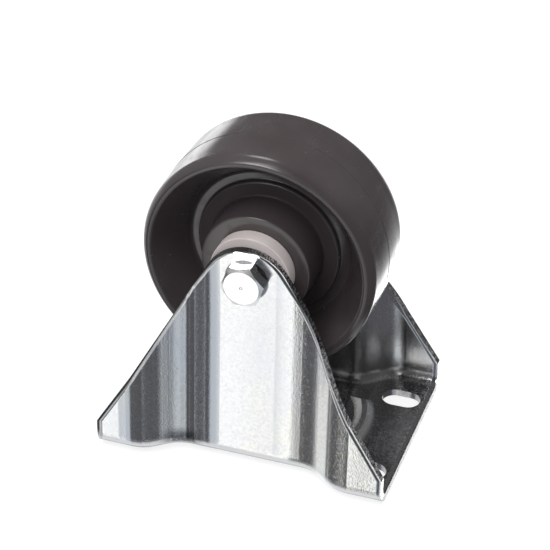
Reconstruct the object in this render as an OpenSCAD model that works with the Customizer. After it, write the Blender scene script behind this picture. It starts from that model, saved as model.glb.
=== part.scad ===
// Fixed castor: a moulded wheel between the two legs of a pressed steel bracket.
// The bracket's plate lies flat on Z = 0 and the wheel stands above it.
// X runs along the plate and the way the wheel rolls, Y along the axle.
// The origin is the middle of the plate's mounting face.

/* [Plate] */
// Length of the plate along X
plate_l = 100; // [96:1:110]
// Thickness of the sheet that the whole bracket is pressed from
sheet_t = 2.5; // [2:0.1:3]
// Distance from the plate's ends to the slot centres
slot_inset = 9.5; // [8:0.5:11]
// Distance between slot centres along Y
slot_pitch_y = 42; // [38:1:45]
// Width of each fixing slot
slot_w = 9; // [7:0.5:10]
// Length of each fixing slot, end to end
slot_l = 13.5; // [11:0.5:15]
// Radius of the middle of the stiffening bead's crest
bead_r = 32; // [31:0.5:32.5]
// Width of the bead at its foot
bead_foot_w = 7; // [6:0.5:8]
// Width of the bead's flat crest
bead_crest_w = 1.8; // [1:0.1:2.5]
// Height that the bead stands above the plate
bead_h = 1.8; // [1:0.1:2.2]
// Half of the width over which the bead runs
bead_reach = 16.5; // [12:0.5:17.5]

/* [Legs] */
// Distance over the outer faces of the two legs' wings, at their folds
wing_spread = 72.6; // [71.4:0.6:75]
// Gap between the inner faces of the two legs at the axle
leg_gap = 45; // [44:0.2:47]
// Distance that each leg leans in between its fold and the axle
lean = 3.3; // [2.2:1.1:4.4]
// Outer radius of the fold between plate and leg
fold_r = 6.5; // [5.5:0.5:7]
// Radius of the middle of the sheet where a panel steps out to its wing
step_r = 12.5; // [12:0.5:13]
// Length of each flat wing along X
wing_l = 11.8; // [10.8:0.2:13]
// Height of the upright edge at the foot of each wing
corner_h = 11; // [9:0.5:13]
// Run of the slanted flank along the sheet for each unit that it rises
flank_slope = 0.62; // [0.6:0.01:0.64]
// Radius of the leg's rounded head
head_r = 15.2; // [13:0.1:17]
// Distance that the centre of the head's radius lies below the axle
head_drop = 4.6; // [0:0.1:6]

/* [Axle] */
// Height of the axle above the mounting face
axle_h = 71.5; // [70:0.5:80]
// Diameter of the axle bolt
bolt_d = 8; // [6:0.5:8.5]
// Radial clearance of the bolt in the legs and the sleeve
bolt_clear = 0.15; // [0.05:0.05:0.3]
// Width across flats of the bolt head and the nut
hex_af = 13; // [12:0.5:15]
// Height of the bolt head
bolt_head_h = 5.3; // [4:0.1:7]
// Angle that the bolt head is turned from flat side up
bolt_head_turn = 8; // [0:1:30]
// Length of the bolt that stands out past the nut
bolt_tip_l = 2; // [1:0.5:4]
// Height of the lock nut
nut_h = 8; // [7:0.5:9]
// Height of the nut's hexagonal part
nut_hex_h = 5.2; // [4:0.1:6]
// Diameter of the nut's round collar
nut_collar_d = 12.2; // [11.5:0.1:13]
// Thickness of the locking ring inside the collar
ring_t = 1.9; // [1:0.1:2]
// Outer diameter of the locking ring
ring_d = 10; // [9.5:0.1:11]
// Thickness of the collar's turned-in edge over the locking ring
collar_edge_t = 0.6; // [0.4:0.1:0.8]
// Outer diameter of the sleeve that the wheel turns on
sleeve_d = 12; // [11:0.5:13]

/* [Wheel] */
// Diameter of the wheel over the middle of its tread
wheel_d = 80; // [76:1:84]
// Width of the wheel over the lips of its rims
rim_w = 34.8; // [33:0.2:38]
// Radius of the tread's gentle crown
crown_r = 300; // [200:10:600]
// Radius of the rounded shoulder between tread and lip
shoulder_r = 4.5; // [4:0.1:5]
// Radius of the lip's inner edge
lip_r = 1.5; // [1:0.1:2]
// Depth of the lip's highest point below the tread
lip_depth = 3; // [2.5:0.1:3.5]
// Radius at the foot of the sloping inner wall
wall_foot_r = 28.9; // [28:0.1:31]
// Distance from the wheel's middle plane to the foot of the inner wall
wall_foot_y = 4.8; // [4:0.1:7]
// Outer radius of the flat ring in the web
web_ring_r = 27.5; // [26:0.1:28]
// Thickness of the web at its ring
web_t = 4.8; // [4:0.2:6]
// Radius of the raised disc in the middle of the web
disc_r = 24.3; // [22:0.1:25]
// Thickness of the raised disc
disc_t = 8.9; // [7:0.1:10]
// Radius of the small bevel on the disc's edge
disc_bevel = 0.7; // [0.3:0.1:1]
// Radius of the boss at its face
boss_r = 18.4; // [17:0.1:20]
// Growth of the boss's radius from its face to the web
boss_draft = 0.8; // [0:0.1:1.5]
// Bevel on the edge of the boss's face
boss_bevel = 0.4; // [0.2:0.1:0.8]
// Width of the wheel over its bosses
boss_w = 33.8; // [32:0.2:36]

/* [Bushes] */
// Diameter of the bush's flange
flange_d = 27.2; // [25:0.2:30]
// Gap between the flange and the leg
flange_gap = 0.3; // [0.2:0.1:0.6]
// Bevel on the flange's outer edge
flange_bevel = 0.6; // [0.3:0.1:1]
// Diameter of the bush's body in the boss
bush_d = 18; // [16:0.5:20]
// Length of the bush's body in the boss
bush_l = 13; // [10:0.5:16]
// Radial running clearance of the bush on the sleeve
run_clear = 0.05; // [0.02:0.01:0.1]

/* [Hidden] */
$fn = 96;
cut = 1;

// Faces of the leg at the axle, and at the fold before it leans in
axle_face_y = leg_gap/2 + sheet_t;
panel_y = axle_face_y + lean;
wing_y = wing_spread/2;
// The lean is even up to lean_z, half as strong over ease_h, and then nothing up to the axle
ease_h = 10;
head_flat = 5;
lean_z = axle_h - head_flat - ease_h;
lean_k = lean/(lean_z - fold_r + ease_h/2);
panel_axis_y = panel_y - fold_r;
wing_axis_y = wing_y - fold_r;
// The step slopes at four along to three out, and is straight between its two arcs
step_cos = 0.8;
step_sin = 0.6;
step_angle = atan2(step_sin, step_cos);
step_run = (wing_y - panel_y - 2*step_r*(1 - step_cos))/step_sin;
step_out_x = plate_l/2 - wing_l;
step_in_x = step_out_x - 2*step_r*step_sin - step_run*step_cos;
step_l = 2*step_r*step_angle*PI/180 + step_run;
// The step's first arc is centred outside the bracket and its second inside
arc_a = [step_in_x, panel_y - sheet_t/2 + step_r];
arc_b = [step_out_x, wing_y - sheet_t/2 - step_r];
axis_r_a = step_r - sheet_t/2 + fold_r;
axis_r_b = step_r + sheet_t/2 - fold_r;
head_z = axle_h - head_drop;
leg_top = head_z + head_r;
hole_r = bolt_d/2 + bolt_clear;
bead_wall = sheet_t*tan(atan2(bead_h, (bead_foot_w - bead_crest_w)/2)/2);

wheel_r = wheel_d/2;
boss_y = boss_w/2;
wall_foot = [wall_foot_r, wall_foot_y];
// Centres of the lip's small arc and of the shoulder's large one, which touch inside
lip_c = [wheel_r - lip_depth, rim_w/2 - lip_r];
shoulder_c = [wheel_r - shoulder_r,
              lip_c[1] - sqrt(pow(shoulder_r - lip_r, 2) - pow(shoulder_r - lip_depth, 2))];
flange_y = leg_gap/2 - flange_gap;
hex_r = hex_af/2/cos(30);
// Where a line or arc runs on from another circle, it bites this far into it
bite = 0.002;
nut_y = axle_face_y + nut_h;
bolt_end_y = nut_y + bolt_tip_l;

function on_circle(centre, r, a) = [centre[0] + r*cos(a), centre[1] + r*sin(a)];

// Sector from angle a0 through the step's angle
module sector(a0) {
    reach = 2*fold_r + 2*step_r;
    polygon([[0, 0], [reach*cos(a0), reach*sin(a0)],
             [2*reach*cos(a0 + step_angle/2), 2*reach*sin(a0 + step_angle/2)],
             [reach*cos(a0 + step_angle), reach*sin(a0 + step_angle)]]);
}

// Slice of a flat ring between two radii
module ring_slice(centre, r_in, r_out, a0) {
    translate(centre) intersection() {
        difference() {
            circle(r = r_out);
            if (r_in > 0) circle(r = r_in);
        }
        sector(a0);
    }
}

// Puts the axis of a turned piece along Y, at the axle, facing +Y
module on_axle() {
    translate([0, 0, axle_h]) rotate([-90, 0, 0]) children();
}

// One side of the near leg's plan, from the middle of the panel out along X
module leg_half_plan() {
    translate([0, panel_y - sheet_t]) square([step_in_x, sheet_t]);
    ring_slice(arc_a, step_r - sheet_t/2, step_r + sheet_t/2, -90);
    translate(on_circle(arc_a, step_r, step_angle - 90)) rotate(step_angle)
        translate([0, -sheet_t/2]) square([step_run, sheet_t]);
    ring_slice(arc_b, step_r - sheet_t/2, step_r + sheet_t/2, 90);
    translate([step_out_x, wing_y - sheet_t]) square([plate_l/2 - step_out_x, sheet_t]);
}

// Outline of a leg seen along the axle: upright corners, slanted flanks, round head
module leg_outline() {
    knee_out = [step_out_x, corner_h + wing_l/flank_slope];
    knee_in = [step_in_x, knee_out[1] + step_l/flank_slope];
    foot = knee_in - [0, head_z];
    touch = atan2(foot[1], foot[0]) + acos((head_r - bite)/norm(foot));
    side = on_circle([0, head_z], head_r - bite, touch);
    translate([0, head_z]) circle(r = head_r);
    for (m = [0, 1]) mirror([m, 0])
        polygon([[0, 0], [plate_l/2, 0], [plate_l/2, corner_h], knee_out, knee_in, side,
                 [0, head_z]]);
}

// Section of the fold: a quarter ring outward from the fold's axis
module fold_section() {
    intersection() {
        translate([0, fold_r]) difference() {
            circle(r = fold_r);
            circle(r = fold_r - sheet_t);
        }
        square([fold_r, fold_r]);
    }
}

module straight_fold(start, angle, length) {
    translate([start[0], start[1], 0]) rotate([0, 0, angle])
        rotate([90, 0, 90]) linear_extrude(length) fold_section();
}

// Curved part of the fold: its section is turned about centre, facing in or out
module curved_fold(centre, axis_r, facing, a0) {
    translate([centre[0], centre[1], 0]) intersection() {
        rotate_extrude() translate([axis_r, 0]) scale([facing, 1]) fold_section();
        linear_extrude(fold_r) sector(a0);
    }
}

// Half of a leg's fold, along the same plan as the leg
module half_fold() {
    straight_fold([0, panel_axis_y], 0, step_in_x);
    curved_fold(arc_a, axis_r_a, -1, -90);
    straight_fold(on_circle(arc_a, axis_r_a, step_angle - 90), step_angle, step_run);
    curved_fold(arc_b, axis_r_b, 1, 90);
    straight_fold([step_out_x, wing_axis_y], 0, plate_l/2 - step_out_x);
}

// A quarter of the flat plate, up to the axes of the folds
module plate_quarter() {
    square([plate_l/2, panel_axis_y]);
    difference() {
        polygon([[step_in_x, 0], [step_in_x, panel_axis_y],
                 on_circle(arc_a, axis_r_a, step_angle - 90),
                 on_circle(arc_b, axis_r_b, step_angle + 90), arc_b,
                 [step_out_x, wing_axis_y], [plate_l/2, wing_axis_y], [plate_l/2, 0]]);
        ring_slice(arc_a, 0, axis_r_a, -90);
    }
    ring_slice(arc_b, 0, axis_r_b, 90);
}

module slot() {
    half = (slot_l - slot_w)/2;
    for (x = [-half, half]) translate([x, 0]) circle(d = slot_w);
    square([2*half, slot_w], center = true);
}

// Stiffening bead round the plate's middle, cut off towards the legs
module bead(shrink) {
    foot = bead_foot_w/2 - shrink;
    crest = bead_crest_w/2 - shrink;
    run = foot - crest;
    intersection() {
        rotate_extrude() polygon([[bead_r - foot, 0], [bead_r + foot, 0],
                                  [bead_r + crest, bead_h], [bead_r - crest, bead_h]]);
        rotate([90, 0, 90]) linear_extrude(plate_l, center = true)
            polygon([[-bead_reach + shrink, 0], [bead_reach - shrink, 0],
                     [bead_reach - shrink - run, bead_h], [-bead_reach + shrink + run, bead_h]]);
    }
}

// Stretch of a leg from z0 up, set in by shift at its foot and leaning in with slope
module leg_stretch(z0, height, shift, slope) {
    multmatrix([[1, 0, 0, 0], [0, 1, -slope, slope*z0 - shift], [0, 0, 1, 0]])
        translate([0, 0, z0]) linear_extrude(height)
            for (m = [0, 1]) mirror([m, 0]) leg_half_plan();
}

module leg() {
    intersection() {
        union() {
            leg_stretch(fold_r, lean_z - fold_r, 0, lean_k);
            leg_stretch(lean_z, ease_h, lean_k*(lean_z - fold_r), lean_k/2);
            leg_stretch(lean_z + ease_h, leg_top - lean_z - ease_h, lean, 0);
        }
        rotate([90, 0, 0]) linear_extrude(2*wing_spread, center = true) leg_outline();
    }
    for (m = [0, 1]) mirror([m, 0, 0]) half_fold();
}

// Plate and legs, pressed and folded from one sheet
module bracket() {
    color([0.76, 0.77, 0.79]) difference() {
        union() {
            linear_extrude(sheet_t)
                for (mx = [0, 1], my = [0, 1]) mirror([mx, 0]) mirror([0, my]) plate_quarter();
            translate([0, 0, sheet_t]) bead(0);
            for (my = [0, 1]) mirror([0, my, 0]) leg();
        }
        bead(bead_wall);
        for (x = [-1, 1], y = [-1, 1])
            translate([x*(plate_l/2 - slot_inset), y*slot_pitch_y/2, -cut])
                linear_extrude(sheet_t + 2*cut) slot();
        translate([0, 0, axle_h]) rotate([90, 0, 0])
            cylinder(h = 2*axle_face_y + 2*cut, r = hole_r, center = true);
    }
}

// Hexagon with the corners of its far end turned off to a cone
module hex_block(h, chamfer_r) {
    intersection() {
        cylinder(h = h, r = hex_r, $fn = 6);
        union() {
            cylinder(h = h - (hex_r - chamfer_r)/2, r = hex_r);
            translate([0, 0, h - (hex_r - chamfer_r)/2])
                cylinder(h = (hex_r - chamfer_r)/2, r1 = hex_r, r2 = chamfer_r);
        }
    }
}

module axle_bolt() {
    color([0.8, 0.81, 0.83]) {
        translate([0, -axle_face_y, axle_h]) rotate([90, -bolt_head_turn, 0])
            hex_block(bolt_head_h, hex_af*0.455);
        translate([0, -axle_face_y, axle_h]) rotate([-90, 0, 0])
            cylinder(h = axle_face_y + bolt_end_y, d = bolt_d);
    }
}

module lock_nut() {
    color([0.78, 0.79, 0.81]) on_axle() translate([0, 0, axle_face_y]) difference() {
        union() {
            hex_block(nut_hex_h, nut_collar_d/2);
            cylinder(h = nut_h, d = nut_collar_d);
        }
        translate([0, 0, -cut]) cylinder(h = nut_h + 2*cut, d = bolt_d);
        translate([0, 0, nut_h - collar_edge_t - ring_t]) cylinder(h = ring_t, d = ring_d);
    }
}

module nut_ring() {
    color([0.2, 0.35, 0.6]) on_axle() translate([0, 0, nut_y - collar_edge_t - ring_t])
        difference() {
            cylinder(h = ring_t, d = ring_d);
            translate([0, 0, -cut]) cylinder(h = ring_t + 2*cut, d = bolt_d);
        }
}

module axle_sleeve() {
    color([0.6, 0.6, 0.62]) on_axle() difference() {
        cylinder(h = leg_gap, d = sleeve_d, center = true);
        cylinder(h = leg_gap + 2*cut, r = hole_r, center = true);
    }
}

// Space on one side of the web: radius against distance from the middle plane
module dish_section() {
    far = 2*rim_w;
    reach = norm(lip_c - wall_foot);
    wall_a = atan2(lip_c[1] - wall_foot[1], lip_c[0] - wall_foot[0]) + asin(lip_r/reach);
    wall_l = reach*cos(asin(lip_r/reach));
    difference() {
        polygon([[web_ring_r, web_t/2], wall_foot, on_circle(wall_foot, wall_l, wall_a), lip_c,
                 on_circle(lip_c, far, atan2(lip_c[1] - shoulder_c[1], lip_c[0] - shoulder_c[0])),
                 [0, 2*far], [0, boss_y], [boss_r - boss_bevel, boss_y],
                 [boss_r, boss_y - boss_bevel], [boss_r + boss_draft, disc_t/2],
                 [disc_r - disc_bevel, disc_t/2], [disc_r, disc_t/2 - disc_bevel],
                 [disc_r, web_t/2]]);
        translate(lip_c) circle(r = lip_r + bite);
    }
}

// Half of the wheel cut through its axle
module wheel_section() {
    difference() {
        intersection() {
            translate([wheel_r - crown_r, 0]) circle(r = crown_r, $fn = 360);
            union() {
                translate([0, -rim_w]) square([shoulder_c[0], 2*rim_w]);
                translate([0, -shoulder_c[1]]) square([wheel_r, 2*shoulder_c[1]]);
                for (m = [0, 1]) mirror([0, m]) translate(shoulder_c) circle(r = shoulder_r);
            }
        }
        for (m = [0, 1]) mirror([0, m]) dish_section();
        translate([-wheel_d, -rim_w]) square([wheel_d + bush_d/2, 2*rim_w]);
    }
}

// Tread, web and bosses, moulded as one
module wheel() {
    color([0.16, 0.13, 0.13]) on_axle() rotate_extrude($fn = 180) wheel_section();
}

// Flanged bush, pressed into the boss and turning on the sleeve
module bush() {
    flange_w = flange_y - boss_y;
    bore_r = sleeve_d/2 + run_clear;
    color([0.8, 0.75, 0.73]) on_axle() rotate_extrude()
        polygon([[bore_r, boss_y - bush_l], [bush_d/2, boss_y - bush_l],
                 [bush_d/2, boss_y], [flange_d/2, boss_y],
                 [flange_d/2, boss_y + flange_w - flange_bevel],
                 [flange_d/2 - flange_bevel, flange_y], [bore_r, flange_y]]);
}

module bush_near() {
    mirror([0, 1, 0]) bush();
}

module bush_far() {
    bush();
}

bracket();
axle_bolt();
lock_nut();
nut_ring();
axle_sleeve();
wheel();
bush_near();
bush_far();
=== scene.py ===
"""Looks of a fixed castor: moulded wheel, plastic bushes, bolted axle, pressed zinc-plated bracket."""

import math

import bmesh
import bpy
from mathutils import Matrix, Vector


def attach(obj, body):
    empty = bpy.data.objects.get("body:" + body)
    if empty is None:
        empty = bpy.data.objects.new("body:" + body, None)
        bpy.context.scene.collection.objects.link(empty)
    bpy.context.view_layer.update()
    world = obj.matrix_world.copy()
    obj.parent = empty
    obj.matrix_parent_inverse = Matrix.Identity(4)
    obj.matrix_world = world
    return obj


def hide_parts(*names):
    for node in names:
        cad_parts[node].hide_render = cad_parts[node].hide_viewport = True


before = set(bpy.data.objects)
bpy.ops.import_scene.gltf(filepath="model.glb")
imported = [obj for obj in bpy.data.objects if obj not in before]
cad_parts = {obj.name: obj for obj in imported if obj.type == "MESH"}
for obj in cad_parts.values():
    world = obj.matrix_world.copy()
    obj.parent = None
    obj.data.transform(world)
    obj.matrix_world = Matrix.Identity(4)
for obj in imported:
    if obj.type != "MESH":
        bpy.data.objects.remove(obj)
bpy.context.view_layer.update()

MM = 0.001
AXLE_HEIGHT = 71.5
TURN_STEPS = 192


# Shapes

def settle(bm, name, sharp_from=32):
    """Closes and smooths a piece, keeping edges crisp where they bend by more than sharp_from degrees."""
    bmesh.ops.remove_doubles(bm, verts=bm.verts, dist=0.002*MM)
    bmesh.ops.recalc_face_normals(bm, faces=bm.faces)
    for face in bm.faces:
        face.smooth = True
    for edge in bm.edges:
        if len(edge.link_faces) == 2:
            edge.smooth = edge.calc_face_angle() < math.radians(sharp_from)
    mesh = bpy.data.meshes.new(name)
    bm.to_mesh(mesh)
    bm.free()
    piece = bpy.data.objects.new(name, mesh)
    bpy.context.scene.collection.objects.link(piece)
    return piece


def rounded_outline(bm, corners):
    """A flat outline of (radius, distance along the axle, setback of its rounding) corners, in mm."""
    points = [bm.verts.new((radius*MM, along*MM, AXLE_HEIGHT*MM)) for radius, along, _ in corners]
    bm.faces.new(points)
    for setback in sorted({corner[2] for corner in corners} - {0}):
        rounds = [point for point, corner in zip(points, corners) if corner[2] == setback]
        bmesh.ops.bevel(bm, geom=rounds, affect="VERTICES", offset=setback*MM, segments=6,
                        profile=0.5, material=-1)
    bmesh.ops.delete(bm, geom=bm.faces[:], context="FACES_ONLY")


def turned(name, corners, steps=TURN_STEPS):
    """A closed piece turned about the axle."""
    bm = bmesh.new()
    rounded_outline(bm, corners)
    bmesh.ops.spin(bm, geom=bm.verts[:] + bm.edges[:], cent=(0, 0, AXLE_HEIGHT*MM),
                   axis=(0, 1, 0), angle=2*math.pi, steps=steps, use_merge=True)
    return settle(bm, name)


def both_sides(half):
    """A half outline from the outermost point inward, followed by its mirror image."""
    return half + [(radius, -along, setback) for radius, along, setback in reversed(half)]


def tread_radius(along):
    """Radius of the gently crowned tread."""
    return 39.9 - along*along/600


def wheel_moulding():
    seam = [(39.9, 0.2, 0), (39.99, 0.06, 0)]
    tread = [(tread_radius(along), along, 0) for along in (12.4, 9.5, 6.5, 3.5, 1.2)]
    side = [(9, 16.9, 0.2), (18.4, 16.9, 0.5), (19.2, 4.45, 0.9), (24.3, 4.45, 0.7),
            (24.3, 2.4, 0.5), (27.5, 2.4, 0.9), (36.447, 17.952, 1.5), (39.65, 16.1, 2.5)]
    return turned("wheel_moulding", both_sides(list(reversed(side + tread + seam)))[::-1])


def bush(name, side):
    corners = [(6.05, 3.9, 0.3), (9, 3.9, 0.4), (9, 16.9, 0), (13.6, 16.9, 0.2),
               (13.6, 22.2, 0.35), (6.05, 22.2, 0.3)]
    return turned(name, [(radius, side*along, setback) for radius, along, setback in corners], 128)


# Finishes

class Finish:
    """A material with its nodes, and short ways to add more."""

    def __init__(self, name):
        self.material = bpy.data.materials.new(name)
        self.material.use_nodes = True
        tree = self.material.node_tree
        self.nodes = tree.nodes
        self.links = tree.links
        self.shader = self.nodes["Principled BSDF"]
        coords = self.nodes.new("ShaderNodeTexCoord").outputs
        self.place = coords["Object"]
        self.facing = coords["Normal"]

    def feed(self, socket, value):
        if isinstance(value, bpy.types.NodeSocket):
            self.links.new(value, socket)
        else:
            socket.default_value = value

    def add(self, kind, output=0, settings=(), **feeds):
        node = self.nodes.new("ShaderNode" + kind)
        for key, value in dict(settings).items():
            setattr(node, key, value)
        for key, value in feeds.items():
            socket = node.inputs[int(key[1:])] if key[0] == "i" and key[1:].isdigit() else \
                node.inputs[key.replace("_", " ")]
            self.feed(socket, value)
        return node.outputs[output]

    def sum(self, operation, *values, clamp=False):
        feeds = {f"i{place}": value for place, value in enumerate(values)}
        return self.add("Math", settings={"operation": operation, "use_clamp": clamp}, **feeds)

    def split(self, vector):
        node = self.nodes.new("ShaderNodeSeparateXYZ")
        self.feed(node.inputs[0], vector)
        return node.outputs

    def noise(self, per_metre, detail=3.0, roughness=0.5, stretch=(1, 1, 1), distortion=0.0):
        place = self.add("Mapping", settings={}, Vector=self.place, Scale=stretch)
        return self.add("TexNoise", Vector=place, Scale=per_metre, Detail=detail,
                        Roughness=roughness, Distortion=distortion)

    def between(self, value, low, high, to_low=0.0, to_high=1.0):
        """Eases a value from one range to another."""
        return self.add("MapRange", settings={"interpolation_type": "SMOOTHSTEP"}, i0=value,
                        i1=low, i2=high, i3=to_low, i4=to_high)

    def ramp(self, value, stops, easing="LINEAR"):
        node = self.nodes.new("ShaderNodeValToRGB")
        self.feed(node.inputs[0], value)
        band = node.color_ramp
        band.interpolation = easing
        while len(band.elements) < len(stops):
            band.elements.new(0.5)
        for element, (place, level) in zip(band.elements, stops):
            element.position = place
            element.color = (*level, 1) if isinstance(level, tuple) else (level, level, level, 1)
        return node.outputs[0]

    def mix(self, factor, first, second):
        node = self.nodes.new("ShaderNodeMix")
        node.data_type = "RGBA"
        self.feed(node.inputs[0], factor)
        for socket, value in ((node.inputs[6], first), (node.inputs[7], second)):
            self.feed(socket, (*value, 1) if isinstance(value, tuple) else value)
        return node.outputs[2]

    def bump(self, height, metres, strength=1.0, normal=None):
        node = self.nodes.new("ShaderNodeBump")
        self.feed(node.inputs["Height"], height)
        node.inputs["Distance"].default_value = metres
        self.feed(node.inputs["Strength"], strength)
        if normal is not None:
            self.links.new(normal, node.inputs["Normal"])
        return node.outputs[0]

    def shine(self, **feeds):
        for key, value in feeds.items():
            self.feed(self.shader.inputs[key.replace("_", " ")],
                      (*value, 1) if isinstance(value, tuple) and len(value) == 3 else value)


# How far the pressed sheet leans from its plain bends, in degrees: place along X, lean towards +X
SHEET_LEANS = [(-50, 4), (-42, 5.5), (-39.4, 12), (-38, 29), (-36.8, 33), (-35.3, 29), (-33.9, 22),
               (-31.2, 7), (-29.2, -4), (-27.8, -11), (-25.9, -11), (-22.8, 6), (-20.8, 26),
               (-20, 34), (-18, 39), (-13.8, 38), (-11.2, 14), (-9, 1), (0, 1), (10, 4.2),
               (14.8, 0), (16.8, -6), (19.3, -10), (21.6, -3), (23.9, 5), (25.9, 7), (27.3, 0),
               (29.4, 1), (30.8, 12), (34.4, 6), (38.2, -7.4), (50, -8.2)]


# Strength of the coarse grain by place along X, from end to end
SHEET_GRAIN = [(0.0, 0.3), (0.06, 0.5), (0.4, 0.5), (0.44, 0.06), (0.63, 0.06), (0.66, 0.6),
               (0.78, 0.6), (0.84, 0.9)]

# Half width of a leg by height, both as parts of 100 mm
LEG_EDGE = [(0.11, 0.5), (0.3, 0.382), (0.654, 0.192), (0.745, 0.132), (0.76, 0.122), (0.78, 0.104),
            (0.8, 0.077), (0.815, 0.043), (0.821, 0)]


def sheet_run():
    """Heights of the sheet over its plain bends, by place along X from end to end, and their span."""
    heights = [0.0]
    for (start, lean), (stop, next_lean) in zip(SHEET_LEANS, SHEET_LEANS[1:]):
        slope = math.tan(math.radians((lean + next_lean)/2))
        heights.append(heights[-1] - slope*(stop - start))
    lowest, span = min(heights), max(heights) - min(heights)
    return [(0.5 + place/100, (height - lowest)/span)
            for (place, _), height in zip(SHEET_LEANS, heights)], span


def zinc_plate(name, grain=2600, tone=(0.78, 0.79, 0.81), polish=0.2, pressed=False,
               threaded=False):
    """Bright zinc plate on rolled steel: fine mottled grain, faint bluish and yellowish passes."""
    zinc = Finish(name)
    clouds = zinc.noise(28, 2, 0.55)
    fine = zinc.noise(grain, 3, 0.65)
    mottle = zinc.noise(grain*0.35, 3, 0.6, distortion=0.4)
    tint = zinc.mix(zinc.between(clouds, 0.38, 0.62), tuple(0.98*level for level in tone),
                    (tone[0]*1.03, tone[1]*1.02, tone[2]*0.955))
    dark = tuple(0.98*level for level in tone)
    colour = zinc.mix(zinc.between(mottle, 0.36, 0.56), dark, tint)
    rough = zinc.sum("ADD", zinc.between(mottle, 0.3, 0.7, polish + 0.05, polish - 0.03),
                     zinc.between(fine, 0.3, 0.7, -0.03, 0.04))
    normal = zinc.bump(fine, 0.018*MM, 0.55, zinc.bump(mottle, 0.02*MM, 0.3))
    if pressed:
        along = zinc.split(zinc.place)[0]
        coarse = zinc.ramp(zinc.sum("ADD", zinc.sum("MULTIPLY", along, 10), 0.5), SHEET_GRAIN)
        normal = zinc.bump(zinc.noise(1700, 2, 0.6), 0.08*MM, coarse, normal)
        stops, span = sheet_run()
        run = zinc.ramp(zinc.sum("ADD", zinc.sum("MULTIPLY", along, 10), 0.5), stops, "B_SPLINE")
        normal = zinc.bump(run, span*MM, 1.0, normal)
        height = zinc.split(zinc.place)[2]
        facing_up = zinc.split(zinc.facing)[2]
        sheared = zinc.sum("MULTIPLY", zinc.between(facing_up, 0.2, 0.35),
                           zinc.between(height, 8*MM, 10*MM))
        # Painted shade: the far leg's torn edges get fewer bright streaks, so they come out darker than
        # the near leg's.
        far = zinc.between(zinc.split(zinc.place)[1], -5*MM, 5*MM, 0, 0.09)
        streaks = zinc.noise(1500, 3, 0.75, stretch=(1, 0.4, 1))
        torn = zinc.mix(zinc.between(zinc.sum("SUBTRACT", streaks, far), 0.42, 0.6), (0.08, 0.08, 0.085), (0.9, 0.9, 0.91))
        colour = zinc.mix(sheared, colour, torn)
        rough = zinc.sum("ADD", rough, zinc.sum("MULTIPLY", sheared, 0.1))
        normal = zinc.bump(zinc.sum("MULTIPLY", streaks, sheared), 1.2*MM, 1.0, normal)
        half = zinc.sum("DIVIDE", zinc.ramp(zinc.sum("MULTIPLY", height, 10), LEG_EDGE), 10)
        inward = zinc.sum("MULTIPLY", zinc.sum("SUBTRACT", half, zinc.sum("ABSOLUTE", along)), 0.86)
        inward = zinc.sum("MINIMUM", inward, zinc.sum("SUBTRACT", 82.1*MM, height))
        leg = zinc.between(height, 5*MM, 8*MM)
        rolled = zinc.between(inward, 0.2*MM, 1.7*MM)
        normal = zinc.bump(rolled, 0.9*MM, 1.0, normal)
        # Painted shade: a dark line 0.5 to 1 mm in from the legs' -X edges, running up over the top of
        # the head.
        painted_edge_shade = zinc.sum("MULTIPLY", zinc.between(inward, 1.0*MM, 0.5*MM), leg)
        painted_edge_shade = zinc.sum("MULTIPLY", painted_edge_shade, zinc.between(along, 9*MM, -1*MM))
        colour = zinc.mix(painted_edge_shade, colour, (0.06, 0.06, 0.065))
        up = zinc.sum("SUBTRACT", height, AXLE_HEIGHT*MM)
        from_axle = zinc.sum("SQRT", zinc.sum("ADD", zinc.sum("MULTIPLY", up, up),
                                              zinc.sum("MULTIPLY", along, along)))
        # Painted contact shadow: a dark ring 7.1 to 7.6 mm round the axle, where the bolt head and the
        # nut sit on the legs.
        colour = zinc.mix(zinc.between(from_axle, 7.6*MM, 7.1*MM), colour, (0.16, 0.16, 0.17))
        # Painted shade: a dark mottled patch in the fold at the foot of the legs, X -31 to -14 mm, 2.5 to
        # 11 mm up.
        painted_fold_shade = zinc.sum("MULTIPLY", zinc.between(along, -31*MM, -24*MM),
                          zinc.between(along, -14*MM, -20*MM))
        painted_fold_shade = zinc.sum("MULTIPLY", painted_fold_shade, zinc.between(height, 11*MM, 6*MM))
        painted_fold_shade = zinc.sum("MULTIPLY", painted_fold_shade, zinc.between(height, 2.5*MM, 4*MM))
        colour = zinc.mix(zinc.sum("MULTIPLY", painted_fold_shade, zinc.between(mottle, 0.3, 0.5, 0.5, 0.95)),
                          colour, (0.13, 0.13, 0.14))
        scratches = zinc.between(zinc.noise(700, 2, 0.6, stretch=(0.1, 1, 1)), 0.7, 0.75)
        normal = zinc.bump(scratches, 0.02*MM, 0.4, normal)
        rough = zinc.sum("ADD", rough, zinc.sum("MULTIPLY", scratches, 0.12))
        plate = zinc.between(height, 3.4*MM, 2.6*MM)
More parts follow.
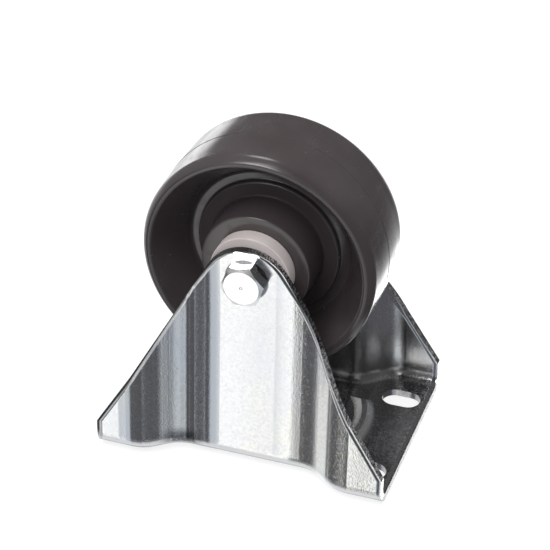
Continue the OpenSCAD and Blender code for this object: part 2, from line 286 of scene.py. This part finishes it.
        # Painted reflection: the flat plate below 2.6 mm is darkened to a mottled 0.36 to 0.5, standing
        # in for the dark surroundings it mirrors.
        colour = zinc.mix(plate, colour, zinc.mix(mottle, (0.36, 0.36, 0.37), (0.5, 0.5, 0.51)))
        cut_end = zinc.sum("MULTIPLY", plate, zinc.between(inward, 0.45*MM, 0.1*MM))
        colour = zinc.mix(cut_end, colour, (0.1, 0.1, 0.105))
        rough = zinc.sum("ADD", rough, zinc.sum("MULTIPLY", plate, 0.06))
    if threaded:
        axes = zinc.split(zinc.place)
        up = zinc.sum("SUBTRACT", axes[2], AXLE_HEIGHT*MM)
        turns = zinc.sum("DIVIDE", zinc.sum("ARCTAN2", up, axes[0]), 2*math.pi)
        groove = zinc.sum("PINGPONG", zinc.sum("ADD", zinc.sum("DIVIDE", axes[1], 1.25*MM), turns),
                          0.5)
        thread = zinc.between(axes[1], 29*MM, 29.5*MM)
        normal = zinc.bump(zinc.sum("MULTIPLY", groove, thread), 1.2*MM, 1.0, normal)
        from_axle = zinc.sum("SQRT", zinc.sum("ADD", zinc.sum("MULTIPLY", up, up),
                                              zinc.sum("MULTIPLY", axes[0], axes[0])))
        mark = zinc.between(from_axle, 0.25*MM, 0.6*MM)
        normal = zinc.bump(mark, 0.25*MM, 1.0, normal)
    zinc.shine(Base_Color=colour, Metallic=1.0, Roughness=rough, Normal=normal)
    return zinc.material


def wheel_plastic():
    """Glossy brown-black moulding, a little scuffed on its tread."""
    hard = Finish("brown_black_moulding")
    soft_wave = hard.noise(60, 2, 0.5)
    fine = hard.noise(900, 3, 0.6)
    scuffs = hard.noise(260, 4, 0.7, stretch=(1, 0.35, 1))
    colour = hard.mix(hard.between(soft_wave, 0.35, 0.7), (0.05, 0.041, 0.042),
                      (0.06, 0.05, 0.051))
    rough = hard.between(scuffs, 0.45, 0.75, 0.16, 0.3)
    normal = hard.bump(fine, 0.01*MM, 0.5, hard.bump(soft_wave, 0.12*MM, 0.5))
    axes = hard.split(hard.place)
    depth = hard.sum("ABSOLUTE", axes[1])
    up = hard.sum("SUBTRACT", axes[2], AXLE_HEIGHT*MM)
    radius = hard.sum("SQRT", hard.sum("ADD", hard.sum("MULTIPLY", up, up),
                                       hard.sum("MULTIPLY", axes[0], axes[0])))
    # Painted shade in the bottom of the dish: the web and the side of the hub boss inside 23.4 mm radius
    # are darker, rougher and less reflective.
    shaded_dish_floor = hard.sum("MULTIPLY", hard.between(depth, 3.6*MM, 4.2*MM),
                    hard.between(depth, 16.8*MM, 16.4*MM))
    shaded_dish_floor = hard.sum("MULTIPLY", shaded_dish_floor, hard.between(radius, 24.2*MM, 23.4*MM))
    colour = hard.mix(shaded_dish_floor, colour, (0.046, 0.037, 0.04))
    rough = hard.sum("ADD", rough, hard.sum("MULTIPLY", shaded_dish_floor, 0.2))
    hard.shine(Base_Color=colour, Roughness=rough, Normal=normal,
               Specular_IOR_Level=hard.between(shaded_dish_floor, 0, 1, 0.65, 0.12))
    return hard.material


def bush_plastic():
    """Pale pinkish-grey plastic."""
    pale = Finish("pale_plastic")
    soft_wave = pale.noise(120, 2, 0.5)
    fine = pale.noise(1500, 3, 0.6)
    colour = pale.mix(pale.between(soft_wave, 0.35, 0.7), (0.55, 0.49, 0.475), (0.6, 0.54, 0.525))
    normal = pale.bump(fine, 0.02*MM, 0.5)
    pale.shine(Base_Color=colour, Roughness=pale.between(fine, 0.3, 0.7, 0.5, 0.62),
               Normal=normal)
    return pale.material


def ring_nylon():
    blue = Finish("locking_ring_nylon")
    fine = blue.noise(1800, 3, 0.6)
    colour = blue.mix(blue.between(fine, 0.35, 0.7), (0.03, 0.1, 0.3), (0.04, 0.13, 0.36))
    blue.shine(Base_Color=colour, Roughness=blue.between(fine, 0.3, 0.7, 0.35, 0.5),
               Normal=blue.bump(fine, 0.02*MM, 0.5))
    return blue.material


def turned_steel():
    steel = Finish("turned_steel")
    rings = steel.noise(3000, 2, 0.5, stretch=(0.02, 1, 0.02))
    colour = steel.mix(steel.between(rings, 0.35, 0.7), (0.42, 0.42, 0.43), (0.52, 0.52, 0.53))
    steel.shine(Base_Color=colour, Metallic=1.0, Roughness=steel.between(rings, 0.3, 0.7, 0.25, 0.4),
                Normal=steel.bump(rings, 0.01*MM, 0.5))
    return steel.material


def dress(piece, material):
    """Puts a finish on a new piece, or in every slot of a solid from the frame."""
    if not piece.material_slots:
        piece.data.materials.append(material)
    for slot in piece.material_slots:
        slot.material = material


# Studio

def camera():
    back = Vector((0.2742061, -0.79295623, 0.54408771))
    right = Vector((0.94460481, 0.32820209, 0.00226709))
    up = back.cross(right)
    lens = bpy.data.cameras.new("camera")
    lens.sensor_width = 36
    lens.lens = 36*1957.4489/550
    lens.clip_start = 0.01
    lens.clip_end = 20
    view = bpy.data.objects.new("camera", lens)
    view.matrix_world = Matrix.Translation((0.17881674, -0.51445209, 0.41129604)) @ \
        Matrix((right, up, back)).transposed().to_4x4()
    bpy.context.scene.collection.objects.link(view)
    bpy.context.scene.camera = view


def soft_lamp(name, place, target, width, height, watts, tone=(1, 1, 1)):
    light = bpy.data.lights.new(name, "AREA")
    light.shape = "RECTANGLE"
    light.size = width
    light.size_y = height
    light.energy = watts
    light.color = tone
    lamp = bpy.data.objects.new(name, light)
    lamp.location = place
    lamp.rotation_euler = (Vector(target) - Vector(place)).to_track_quat("-Z", "Y").to_euler()
    lamp.visible_glossy = False
    bpy.context.scene.collection.objects.link(lamp)


# Lamps that only glossy surfaces mirror: direction, reach in degrees, level
WHEEL_SHEENS = [((-0.23, 0.44, 0.87), 12, 5.0), ((-0.27, -0.74, 0.61), 16, 7.0),
                ((-0.81, -0.12, -0.54), 12, 1.0),
                ((0.03, 0.79, -0.61), 15, 4.0), ((-0.6, 0.79, -0.11), 11, 2.5),
                ((-0.18, -0.51, 0.84), 12, 3.0)]


def studio_world():
    """White for the camera, an even fill for dull surfaces, and a studio for glossy ones to mirror."""
    world = bpy.data.worlds.new("studio")
    world.use_nodes = True
    bpy.context.scene.world = world
    room = Finish.__new__(Finish)
    room.nodes = world.node_tree.nodes
    room.links = world.node_tree.links
    coords = room.nodes.new("ShaderNodeTexCoord")
    axes = room.split(coords.outputs["Generated"])
    turn = room.sum("ADD", room.sum("DIVIDE", room.sum("ARCTAN2", axes[1], axes[0]), 2*math.pi), 0.5)
    # Directions run from -X through -Y, +X and +Y back to -X
    low = room.ramp(turn, [(0.0, (0.75, 0.79, 0.79)), (0.03, (0.7, 0.74, 0.74)),
                           (0.055, (0.3, 0.31, 0.31)), (0.09, (0.12, 0.12, 0.13)),
                           (0.15, (0.08, 0.08, 0.08)), (0.167, (0.1, 0.1, 0.1)),
                           (0.176, (1.45, 1.45, 1.43)), (0.208, (1.45, 1.45, 1.43)),
                           (0.224, (0.75, 0.77, 0.8)), (0.26, (0.6, 0.64, 0.69)),
                           (0.335, (0.6, 0.64, 0.69)), (0.36, (0.1, 0.1, 0.11)),
                           (0.665, (0.1, 0.1, 0.1)), (0.71, (1.5, 1.5, 1.5)),
                           (0.9, (1.2, 1.2, 1.2)), (1.0, (0.75, 0.79, 0.79))])
    high = room.ramp(turn, [(0.0, 0.4), (0.15, 0.5), (0.22, 0.55), (0.278, 0.3), (0.34, 0.04),
                            (0.42, 0.06), (0.55, 0.15), (0.7, 0.15), (0.803, 0.1), (0.92, 0.3),
                            (1.0, 0.4)])
    mirrored = room.mix(room.between(axes[2], -0.12, 0.07), low, high)
    mirrored = room.mix(room.between(axes[2], -0.76, -0.9), mirrored, (0.85, 0.86, 0.88))
    for aim, reach, level in WHEEL_SHEENS:
        facing = room.nodes.new("ShaderNodeVectorMath")
        facing.operation = "DOT_PRODUCT"
        room.links.new(coords.outputs["Generated"], facing.inputs[0])
        facing.inputs[1].default_value = Vector(aim).normalized()
        glow = room.between(facing.outputs["Value"], math.cos(math.radians(reach)),
                            math.cos(math.radians(0.3*reach)))
        mirrored = room.mix(glow, mirrored, (level, level, level))
    rays = room.nodes.new("ShaderNodeLightPath").outputs
    shown = room.mix(rays["Is Glossy Ray"], (0.75, 0.76, 0.78), mirrored)
    shown = room.mix(rays["Is Camera Ray"], shown, (1.0, 1.0, 1.0))
    room.links.new(shown, room.nodes["Background"].inputs["Color"])


def floor():
    bm = bmesh.new()
    bmesh.ops.create_grid(bm, x_segments=2, y_segments=2, size=1.5)
    bmesh.ops.translate(bm, verts=bm.verts, vec=(0, 0, -0.05*MM))
    ground = settle(bm, "floor")
    paper = Finish("white_paper")
    grain = paper.noise(300, 3, 0.6)
    paper.shine(Base_Color=paper.mix(grain, (0.28, 0.28, 0.28), (0.3, 0.3, 0.3)), Roughness=0.9,
                Specular_IOR_Level=0.0)
    rays = paper.nodes.new("ShaderNodeLightPath").outputs
    paper.shader.inputs["Emission Color"].default_value = (1, 1, 1, 1)
    paper.links.new(paper.between(rays["Is Camera Ray"], 0, 1, 0.0, 0.8),
                    paper.shader.inputs["Emission Strength"])
    dress(ground, paper.material)
    ground.visible_glossy = False


camera()
studio_world()
floor()
soft_lamp("key_softbox", (-0.12, -0.45, 1.0), (0, 0, 0.06), 0.6, 0.6, 6)
soft_lamp("back_softbox", (-0.15, 0.6, 0.8), (0, 0, 0.08), 0.7, 0.4, 4)

wheel = wheel_moulding()
dress(wheel, wheel_plastic())
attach(wheel, "rolling_wheel")
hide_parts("wheel")

pale = bush_plastic()
for node, side in (("bush_near", -1), ("bush_far", 1)):
    piece = bush(node + "_moulding", side)
    dress(piece, pale)
    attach(piece, "rolling_wheel")
    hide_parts(node)

dress(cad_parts["bracket"], zinc_plate("zinc_on_sheet", pressed=True))
dress(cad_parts["axle_bolt"], zinc_plate("zinc_on_bolt", 3200, (0.86, 0.87, 0.88), 0.14, threaded=True))
dress(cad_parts["lock_nut"], zinc_plate("zinc_on_nut", 3200, (0.76, 0.77, 0.79), 0.2))
dress(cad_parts["nut_ring"], ring_nylon())
dress(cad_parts["axle_sleeve"], turned_steel())

scene = bpy.context.scene
scene.view_settings.view_transform = "Standard"
